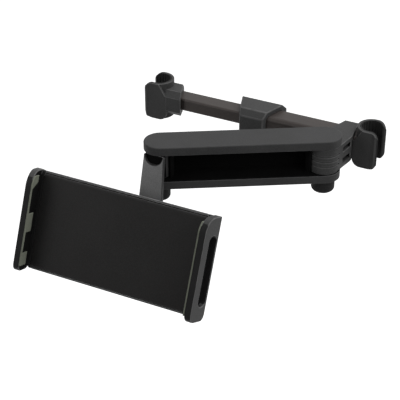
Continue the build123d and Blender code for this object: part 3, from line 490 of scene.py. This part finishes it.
def add_tone_with_rub_and_highlight(tree, shader, colour, rough, drift, patch, dim, lift, rub, wear_and_highlight_lift):
    """Gives a shader a cloudy colour with rubbed edges, lighter as wear and as a painted highlight; dim and
    both lifts are shares of the colour.
    """
    tone = place_group(
        tree,
        "Tone drift",
        Colour=shade(colour, dim),
        Light_colour=shade(colour, lift),
        Patch_size=patch,
        Roughness=rough,
        Roughness_drift=drift,
    )
    worn_and_highlit = place_group(tree, "Edge rub", Rub_colour=shade(colour, wear_and_highlight_lift), Amount=rub)
    tree.links.new(tone.outputs["Colour"], worn_and_highlit.inputs["Colour"])
    tree.links.new(worn_and_highlit.outputs["Colour"], shader.inputs["Base Color"])
    tree.links.new(tone.outputs["Roughness"], shader.inputs["Roughness"])


def moulded_finish(name, colour, rough, gloss, pit, depth, rub, patch=0.02, lift=1.35, wear_and_highlight_lift=2.1):
    """A moulded plastic or rubber: cloudy tone, fine grain and rubbed edges, which are partly a painted
    highlight.
    """
    material, tree, shader = empty_material(name)
    add_tone_with_rub_and_highlight(
        tree, shader, colour, rough, drift=0.12, patch=patch,
        dim=0.86, lift=lift, rub=rub, wear_and_highlight_lift=wear_and_highlight_lift,
    )
    grain = place_group(tree, "Moulded grain", Pit_size=pit)
    shader.inputs["Specular IOR Level"].default_value = gloss
    add_bump(tree, shader, grain.outputs["Height"], depth, strength=0.55)
    return material


def painted_tube_finish(name, colour):
    """Satin paint over a drawn tube."""
    material, tree, shader = empty_material(name)
    add_tone_with_rub_and_highlight(
        tree, shader, colour, rough=0.42, drift=0.1, patch=0.03,
        dim=0.9, lift=1.25, rub=0.35, wear_and_highlight_lift=1.9,
    )
    streaks = place_group(tree, "Drawn streaks", Line_pitch=0.0006, Stretch=0.03)
    shader.inputs["Metallic"].default_value = 0.1
    shader.inputs["Specular IOR Level"].default_value = 0.2
    add_bump(tree, shader, streaks.outputs["Share"], depth=0.00002, strength=0.4)
    return material


def bare_metal_finish(name, colour, rough):
    """Bare metal with fine drawn lines."""
    material, tree, shader = empty_material(name)
    lines = place_group(tree, "Drawn streaks", Line_pitch=0.0002, Stretch=0.08).outputs["Share"]
    tone = mix_colours(tree, lines, *[shade(colour, factor) for factor in METAL_TONES])
    tree.links.new(tone, shader.inputs["Base Color"])
    smooth, coarse = [rough * factor for factor in METAL_ROUGHNESS]
    tree.links.new(spread(tree, lines, to_low=smooth, to_high=coarse), shader.inputs["Roughness"])
    shader.inputs["Metallic"].default_value = 1.0
    add_bump(tree, shader, lines, depth=0.00001, strength=0.3)
    return material


def make_finish(kind, name):
    """A finish by the name of its colour."""
    colour = tuple(getattr(bpy.context.scene.mount_colours, kind))
    if kind in MOULDED:
        return moulded_finish(name, colour, **MOULDED[kind])
    if kind in BARE_METALS:
        return bare_metal_finish(name, colour, BARE_METALS[kind])
    if kind == "tube_metal":
        return painted_tube_finish(name, colour)
    raise ValueError(f"no finish is known for {kind}")


def finish_named(kind):
    """A finish that is made once, when it is first asked for."""
    name = kind + "_finish"
    return bpy.data.materials.get(name) or make_finish(kind, name)


def finish_for(node):
    """The finish of a solid."""
    return finish_named(SLOT_OF[node])


def add_object(name, data):
    """A new object in the scene."""
    made = bpy.data.objects.new(name, data)
    bpy.context.scene.collection.objects.link(made)
    return made


def joined_facets(node):
    """A working mesh of a solid with its flat facets joined."""
    work = bmesh.new()
    work.from_mesh(frame["nodes"][node].data)
    bmesh.ops.remove_doubles(work, verts=work.verts, dist=MERGE_DISTANCE)
    bmesh.ops.dissolve_limit(
        work,
        angle_limit=bpy.context.scene.mount_edges.flat,
        use_dissolve_boundaries=False,
        verts=work.verts,
        edges=work.edges,
    )
    for face in work.faces:
        face.material_index = 0
    return work


def runs_into_tip(edge):
    """Whether a face beside an edge narrows to a thin tip at one of the edge's ends."""
    corners = [loop for vert in edge.verts for loop in vert.link_loops if loop.face in edge.link_faces]
    return any(loop.calc_angle() < TIP_ANGLE for loop in corners)


def has_room(edge, width):
    """Whether an edge stands proud and the faces beside it are wide enough for a round."""
    length = max(edge.calc_length(), MERGE_DISTANCE)
    room = min(face.calc_area() for face in edge.link_faces) / length
    return edge.is_convex and room > ROOM_FACTOR * width and not runs_into_tip(edge)


def edges_with_room(work, width):
    """Sharp edges that have room for a round on both sides; the others stay crisp."""
    limit = bpy.context.scene.mount_edges.sharp
    chosen = []
    for edge in work.edges:
        edge.smooth = True
        if len(edge.link_faces) != 2 or edge.calc_face_angle() < limit:
            continue
        if has_room(edge, width):
            chosen.append(edge)
        else:
            edge.smooth = False
    return chosen


def round_edges(work, width):
    """Rounds the sharp edges, marks the rounds and brings stray points back to the solid."""
    surface = BVHTree.FromBMesh(work)
    band = work.faces.layers.float.new(EDGE_BAND)
    made = bmesh.ops.bevel(
        work,
        geom=edges_with_room(work, width),
        offset=width,
        offset_type="OFFSET",
        segments=ROUND_SEGMENTS,
        profile=ROUND_PROFILE,
        affect="EDGES",
        clamp_overlap=False,
        loop_slide=True,
    )
    for face in made["faces"]:
        face[band] = 1.0
    for vert in work.verts:
        spot, _, _, distance = surface.find_nearest(vert.co)
        if distance > STRAY_FACTOR * width:
            vert.co = spot
    bmesh.ops.dissolve_degenerate(work, dist=MERGE_DISTANCE, edges=work.edges)
    for face in work.faces:
        face.smooth = True


def hull_planes(work):
    """Planes of the tight convex wrap of a mesh, as outward normals and points."""
    wrap = bmesh.new()
    for vert in work.verts:
        wrap.verts.new(vert.co)
    bmesh.ops.convex_hull(wrap, input=wrap.verts)
    wrap.normal_update()
    middle = sum((vert.co for vert in wrap.verts), Vector()) / len(wrap.verts)
    planes = []
    for face in wrap.faces:
        point = face.verts[0].co.copy()
        outward = face.normal if face.normal.dot(point - middle) > 0 else -face.normal
        planes.append((outward.copy(), point))
    wrap.free()
    return planes


def paint_shade_in_hollows(work, depth, chosen):
    """Paints shade: gives the near-black painted-shade material to faces that lie deep under the wrap and
    whose normal passes a test.
    """
    planes = hull_planes(work)
    for face in work.faces:
        if not chosen(face.normal):
            continue
        centre = face.calc_center_median()
        if min(normal.dot(point - centre) for normal, point in planes) > depth:
            face.material_index = PAINTED_SHADE_INDEX


def stand_for(node):
    """Hides the solid that a piece stands for."""
    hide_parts(node)


def new_piece(node, work, materials):
    """Makes the piece that stands for a solid and rides where the solid does."""
    mesh = bpy.data.meshes.new(node + "_soft")
    work.to_mesh(mesh)
    work.free()
    stale = mesh.attributes.get("custom_normal")
    if stale:
        mesh.attributes.remove(stale)
    for material in materials:
        mesh.materials.append(material)
    piece = add_object(node + "_soft", mesh)
    weigh = piece.modifiers.new("even_normals", "WEIGHTED_NORMAL")
    weigh.keep_sharp = True
    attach(piece, frame["nodes"][node]["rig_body"])
    stand_for(node)
    return piece


def soft_edged(node, width, hollow=None, chosen=lambda normal: True):
    """A copy of a solid with rounded edges and, where asked, painted shade on the faces deep in its
    hollows.
    """
    work = joined_facets(node)
    round_edges(work, width)
    materials = [finish_for(node)]
    if hollow:
        paint_shade_in_hollows(work, hollow, chosen)
        materials.append(finish_named("hollow"))
    return new_piece(node, work, materials)


def refinish(piece, material, chosen):
    """Gives a further material to the faces that a test of their normals picks, apart from the painted
    shade in hollows; here it paints shade on the front of the jaw lips and light on the front of the drop
    plate.
    """
    piece.data.materials.append(material)
    last = len(piece.data.materials) - 1
    for face in piece.data.polygons:
        if face.material_index == 0 and chosen(face.normal):
            face.material_index = last


def largest_flat(node, toward):
    """The normal of the largest facet of a solid on the side that looks a given way."""
    flats = [flat for flat in frame["nodes"][node].data.polygons if flat.normal.dot(toward) > 0]
    return max(flats, key=lambda flat: flat.area).normal.copy()


def coil(node):
    """A spring, kept as a fixed copy of its solid with its finish."""
    mesh = frame["nodes"][node].data.copy()
    mesh.materials.clear()
    mesh.materials.append(finish_for(node))
    piece = add_object(node + "_coil", mesh)
    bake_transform(piece)
    stand_for(node)


def post_axis(node):
    """Where the axis of a hook's bore stands, from the mount that names the hook."""
    side = "fixed" if node.startswith("fixed") else "sliding"
    for mount in frame["record"]["mounts"]:
        if side in mount["name"]:
            return Vector(mount["pos_m"])
    raise ValueError(f"no mount belongs to {node}")


def ribbed_liner(node, width):
    """A hook liner with upright ribs round its bore."""
    details = bpy.context.scene.mount_details
    axis = post_axis(node)
    nearest = details.bore_radius - details.bore_slack
    farthest = details.bore_radius + BORE_TOLERANCE

    def on_bore(vert):
        return nearest < math.hypot(vert.co.x - axis.x, vert.co.y - axis.y) < farthest

    def runs_round(edge):
        first, second = edge.verts
        return on_bore(first) and on_bore(second) and abs((first.co - second.co).normalized().z) < UPRIGHT

    work = joined_facets(node)
    round_edges(work, width)
    around = [edge for edge in work.edges if runs_round(edge)]
    bmesh.ops.subdivide_edges(work, edges=around, cuts=details.rib_steps, use_grid_fill=True)
    for vert in work.verts:
        if on_bore(vert):
            flat = Vector((vert.co.x - axis.x, vert.co.y - axis.y, 0))
            wave = (1 - math.cos(details.rib_count * math.atan2(flat.y, flat.x))) / 2
            flat.length = details.bore_radius + details.rib_depth * wave
            vert.co = Vector((axis.x + flat.x, axis.y + flat.y, vert.co.z))
    for face in work.faces:
        face.smooth = True
    new_piece(node, work, [finish_for(node)])


def screw_heads(work, outward):
    """Middle of the end face of each screw in a mesh, on the side that it is driven from."""
    highest = max(vert.co.dot(outward) for vert in work.verts)
    ends = [
        face.calc_center_median()
        for face in work.faces
        if face.normal.dot(outward) > HEAD_FACING and len(face.verts) > SQUARE_CORNERS
    ]
    return [middle for middle in ends if middle.dot(outward) > highest - HEAD_TOLERANCE]


def cross_screws(node, width, outward):
    """Screws with a cross recess in each head."""
    details = bpy.context.scene.mount_details
    work = joined_facets(node)
    turn = UP.rotation_difference(outward).to_matrix().to_4x4()
    size = Matrix.Diagonal((details.cross_reach, details.cross_width, 2 * details.cross_depth, 1))
    cutter = bmesh.new()
    for middle in screw_heads(work, outward):
        for spin in (0, math.pi / 2):
            place = Matrix.Translation(middle) @ turn @ Matrix.Rotation(spin, 4, "Z")
            bmesh.ops.create_cube(cutter, matrix=place @ size)
    round_edges(work, width)
    cut_away(new_piece(node, work, [finish_for(node)]), cutter)


def cut_away(piece, cutter):
    """Takes the shape of a working mesh out of a piece."""
    mesh = bpy.data.meshes.new("cutter")
    cutter.to_mesh(mesh)
    cutter.free()
    tool = add_object("cutter", mesh)
    cut = piece.modifiers.new("cut", "BOOLEAN")
    cut.operation = "DIFFERENCE"
    cut.solver = "EXACT"
    cut.use_self = True
    cut.object = tool
    piece.modifiers.move(piece.modifiers.find("cut"), 0)
    graph = bpy.context.evaluated_depsgraph_get()
    made = bpy.data.meshes.new_from_object(piece.evaluated_get(graph))
    piece.modifiers.remove(cut)
    made.name = piece.data.name + "_cut"
    piece.data = made
    bpy.data.objects.remove(tool)
    bpy.data.meshes.remove(mesh)


def plain(node):
    """Keeps a solid as it is and gives it its finish."""
    mesh = frame["nodes"][node].data
    mesh.materials.clear()
    mesh.materials.append(finish_for(node))


class MOUNT_OT_bar(Operator):
    """Dress the telescopic bar: both tubes, the collar, the bush and the spring"""

    bl_idname = "mount.bar"
    bl_label = "Telescopic bar"

    def execute(self, context):
        edges = context.scene.mount_edges
        soft_edged("outer_tube", edges.metal)
        soft_edged("inner_tube", edges.metal)
        soft_edged("bar_collar", edges.collar)
        plain("guide_bush")
        coil("bar_spring")
        return {"FINISHED"}


class MOUNT_OT_hooks(Operator):
    """Dress the two post hooks, their ribbed liners and their screws"""

    bl_idname = "mount.hooks"
    bl_label = "Post hooks"

    def execute(self, context):
        edges = context.scene.mount_edges
        for end in ("fixed", "sliding"):
            soft_edged(end + "_hook", edges.thin)
            ribbed_liner(end + "_hook_liner", edges.metal)
            soft_edged(end + "_hook_screw", edges.metal)
        return {"FINISHED"}


class MOUNT_OT_bracket(Operator):
    """Dress the hinge bracket with painted shade in its pockets, and its washers"""

    bl_idname = "mount.bracket"
    bl_label = "Hinge bracket"

    def execute(self, context):
        scene = context.scene
        soft_edged("hinge_bracket", scene.mount_edges.moulded, hollow=scene.mount_details.bracket_hollow)
        plain("bracket_washers")
        return {"FINISHED"}


class MOUNT_OT_arm(Operator):
    """Dress the swing arm with painted shade in its channel, its bolts and their caps"""

    bl_idname = "mount.arm"
    bl_label = "Swing arm"

    def execute(self, context):
        edges = context.scene.mount_edges
        soft_edged("swing_arm", edges.moulded, hollow=context.scene.mount_details.arm_hollow)
        for end in ("bracket", "holder"):
            soft_edged(end + "_cap", edges.thin)
            plain(end + "_bolt")
        return {"FINISHED"}


class MOUNT_OT_drop(Operator):
    """Dress the drop bracket, the ball stud and its nut, the seat, the cup and the lock ring"""

    bl_idname = "mount.drop"
    bl_label = "Drop bracket and ball joint"

    def execute(self, context):
        edges = context.scene.mount_edges
        front = largest_flat("drop_bracket", FORWARD)
        # Faces deep in the plate's relief that look forward get painted shade
        bracket = soft_edged(
            "drop_bracket",
            edges.moulded,
            hollow=context.scene.mount_details.drop_hollow,
            chosen=lambda normal: normal.dot(front) > HALF_TURNED,
        )
        # Only the front face keeps the light drop colour, a painted highlight; the plate's other faces take
        # the arm's darker colour
        refinish(bracket, finish_for("swing_arm"), lambda normal: normal.dot(front) < PLATE_FACING)
        soft_edged("lock_ring", edges.thin)
        soft_edged("stud_nut", edges.metal)
        for node in ("holder_washers", "ball_stud", "ball_seat", "ball_cup"):
            plain(node)
        return {"FINISHED"}


class MOUNT_OT_holder(Operator):
    """Dress the holder's shell and panel, its screws and springs"""

    bl_idname = "mount.holder"
    bl_label = "Tablet holder"

    def execute(self, context):
        edges = context.scene.mount_edges
        soft_edged("rear_shell", edges.crest)
        soft_edged("front_panel", edges.crest)
        for node in ("shell_screws", "jaw_screws"):
            cross_screws(node, edges.metal, -largest_flat("front_panel", FORWARD))
        coil("jaw_springs")
        return {"FINISHED"}


class MOUNT_OT_jaws(Operator):
    """Dress the two jaws with painted shade in their slots and on the front faces of their lips, and their
    pads
    """

    bl_idname = "mount.jaws"
    bl_label = "Jaws and pads"

    def execute(self, context):
        edges = context.scene.mount_edges
        front = largest_flat("front_panel", FORWARD)
        for end in ("fixed", "sliding"):
            jaw = soft_edged(
                end + "_jaw",
                edges.jaw,
                hollow=context.scene.mount_details.jaw_hollow,
                chosen=lambda normal: abs(normal.dot(front)) < HALF_TURNED,
            )
            # The jaws' front faces take the darker lip colour: painted shade on the side turned to the
            # front
            refinish(jaw, finish_named("lip"), lambda normal: normal.dot(front) > LIP_FACING)
            soft_edged(end + "_jaw_pad", edges.thin)
        return {"FINISHED"}


def seen_share(tree):
    """One for the rays that show the background: camera, glossy and transmission rays."""
    path = tree.nodes.new("ShaderNodeLightPath")
    share = math_node(tree, "MAXIMUM", path.outputs["Is Camera Ray"], path.outputs["Is Glossy Ray"])
    return math_node(tree, "MAXIMUM", share, path.outputs["Is Transmission Ray"])


def make_floor(stage):
    """A plain pale floor that keeps the shadow."""
    reach = stage.floor_reach
    low = cad_box[0][2] - stage.floor_depth
    mesh = bpy.data.meshes.new("floor")
    corners = [(-reach, -reach, low), (reach, -reach, low), (reach, reach, low), (-reach, reach, low)]
    mesh.from_pydata(corners, [], [(0, 1, 2, 3)])
    floor = add_object("floor", mesh)
    material, tree, shader = empty_material("floor_paint")
    speckle = noise_node(tree, piece_place(tree), scale=3.0, detail=2.0)
    dim, light = [shade(stage.floor_colour, factor) for factor in FLOOR_TONES]
    tone = place_group(tree, "Tone drift", Colour=dim, Light_colour=light, Patch_size=1.5)
    tree.links.new(tone.outputs["Colour"], shader.inputs["Base Color"])
    tree.links.new(spread(tree, speckle, to_low=0.85, to_high=0.95), shader.inputs["Roughness"])
    shader.inputs["Specular IOR Level"].default_value = 0.1
    shader.inputs["Emission Color"].default_value = WHITE
    glow = math_node(tree, "MULTIPLY", seen_share(tree), FLOOR_GLOW)
    tree.links.new(glow, shader.inputs["Emission Strength"])
    mesh.materials.append(material)


def make_world(stage):
    """White where it is seen, and an even soft light elsewhere."""
    world = bpy.data.worlds.new("studio")
    world.use_nodes = True
    tree = world.node_tree
    back = tree.nodes["Background"]
    back.inputs["Color"].default_value = WHITE
    level = spread(tree, seen_share(tree), to_low=stage.ambient)
    tree.links.new(level, back.inputs["Strength"])
    bpy.context.scene.world = world


def make_lamp(name, place, size, power):
    """A square soft box that points at the middle of the part."""
    light = bpy.data.lights.new(name, "AREA")
    light.shape = "SQUARE"
    light.size = size
    light.energy = power
    lamp = add_object(name, light)
    middle = (Vector(cad_box[0]) + Vector(cad_box[1])) / 2
    lamp.location = place
    lamp.rotation_euler = (middle - Vector(place)).to_track_quat("-Z", "Y").to_euler()


def make_camera(stage):
    """A camera at the photograph's viewing angle."""
    lens = bpy.data.cameras.new("camera")
    lens.lens = stage.camera_lens
    lens.sensor_width = SENSOR_WIDTH
    lens.sensor_fit = "HORIZONTAL"
    camera = add_object("camera", lens)
    camera.location = stage.camera_place
    camera.rotation_euler = stage.camera_turn
    bpy.context.scene.camera = camera


class MOUNT_OT_stage(Operator):
    """Set the camera, the lamps, the floor and the world"""

    bl_idname = "mount.stage"
    bl_label = "Stage"

    def execute(self, context):
        stage = context.scene.mount_stage
        context.scene.view_settings.view_transform = "Standard"
        make_floor(stage)
        make_world(stage)
        make_lamp("top_lamp", stage.top_place, stage.top_size, stage.top_power)
        make_lamp("side_lamp", stage.side_place, stage.side_size, stage.side_power)
        make_lamp("front_lamp", stage.front_place, stage.front_size, stage.front_power)
        make_camera(stage)
        return {"FINISHED"}


OPERATORS = (
    MOUNT_OT_bar,
    MOUNT_OT_hooks,
    MOUNT_OT_bracket,
    MOUNT_OT_arm,
    MOUNT_OT_drop,
    MOUNT_OT_holder,
    MOUNT_OT_jaws,
    MOUNT_OT_stage,
)


class MOUNT_PT_sidebar(Panel):
    """Lists the operators and the sizes and colours that they use"""

    bl_idname = "MOUNT_PT_sidebar"
    bl_label = "Tablet Mount"
    bl_space_type = "VIEW_3D"
    bl_region_type = "UI"
    bl_category = "Tablet Mount"

    def draw(self, context):
        column = self.layout.column()
        for operator in OPERATORS:
            column.operator(operator.bl_idname)
        scene = context.scene
        for settings in (scene.mount_edges, scene.mount_details, scene.mount_colours, scene.mount_stage):
            box = self.layout.box()
            for name in settings.bl_rna.properties.keys():
                if name not in ("rna_type", "name"):
                    box.prop(settings, name)


CLASSES = (MountEdges, MountDetails, MountColours, MountStage, *OPERATORS, MOUNT_PT_sidebar)


def register():
    """Registers the classes and hangs the settings on the scene."""
    for item in CLASSES:
        bpy.utils.register_class(item)
    bpy.types.Scene.mount_edges = PointerProperty(type=MountEdges)
    bpy.types.Scene.mount_details = PointerProperty(type=MountDetails)
    bpy.types.Scene.mount_colours = PointerProperty(type=MountColours)
    bpy.types.Scene.mount_stage = PointerProperty(type=MountStage)


def unregister():
    """Takes the settings and the classes away."""
    del bpy.types.Scene.mount_stage
    del bpy.types.Scene.mount_colours
    del bpy.types.Scene.mount_details
    del bpy.types.Scene.mount_edges
    for item in reversed(CLASSES):
        bpy.utils.unregister_class(item)


def main():
    """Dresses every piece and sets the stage."""
    register()
    bpy.ops.mount.bar()
    bpy.ops.mount.hooks()
    bpy.ops.mount.bracket()
    bpy.ops.mount.arm()
    bpy.ops.mount.drop()
    bpy.ops.mount.holder()
    bpy.ops.mount.jaws()
    bpy.ops.mount.stage()


if __name__ == "__main__":
    main()
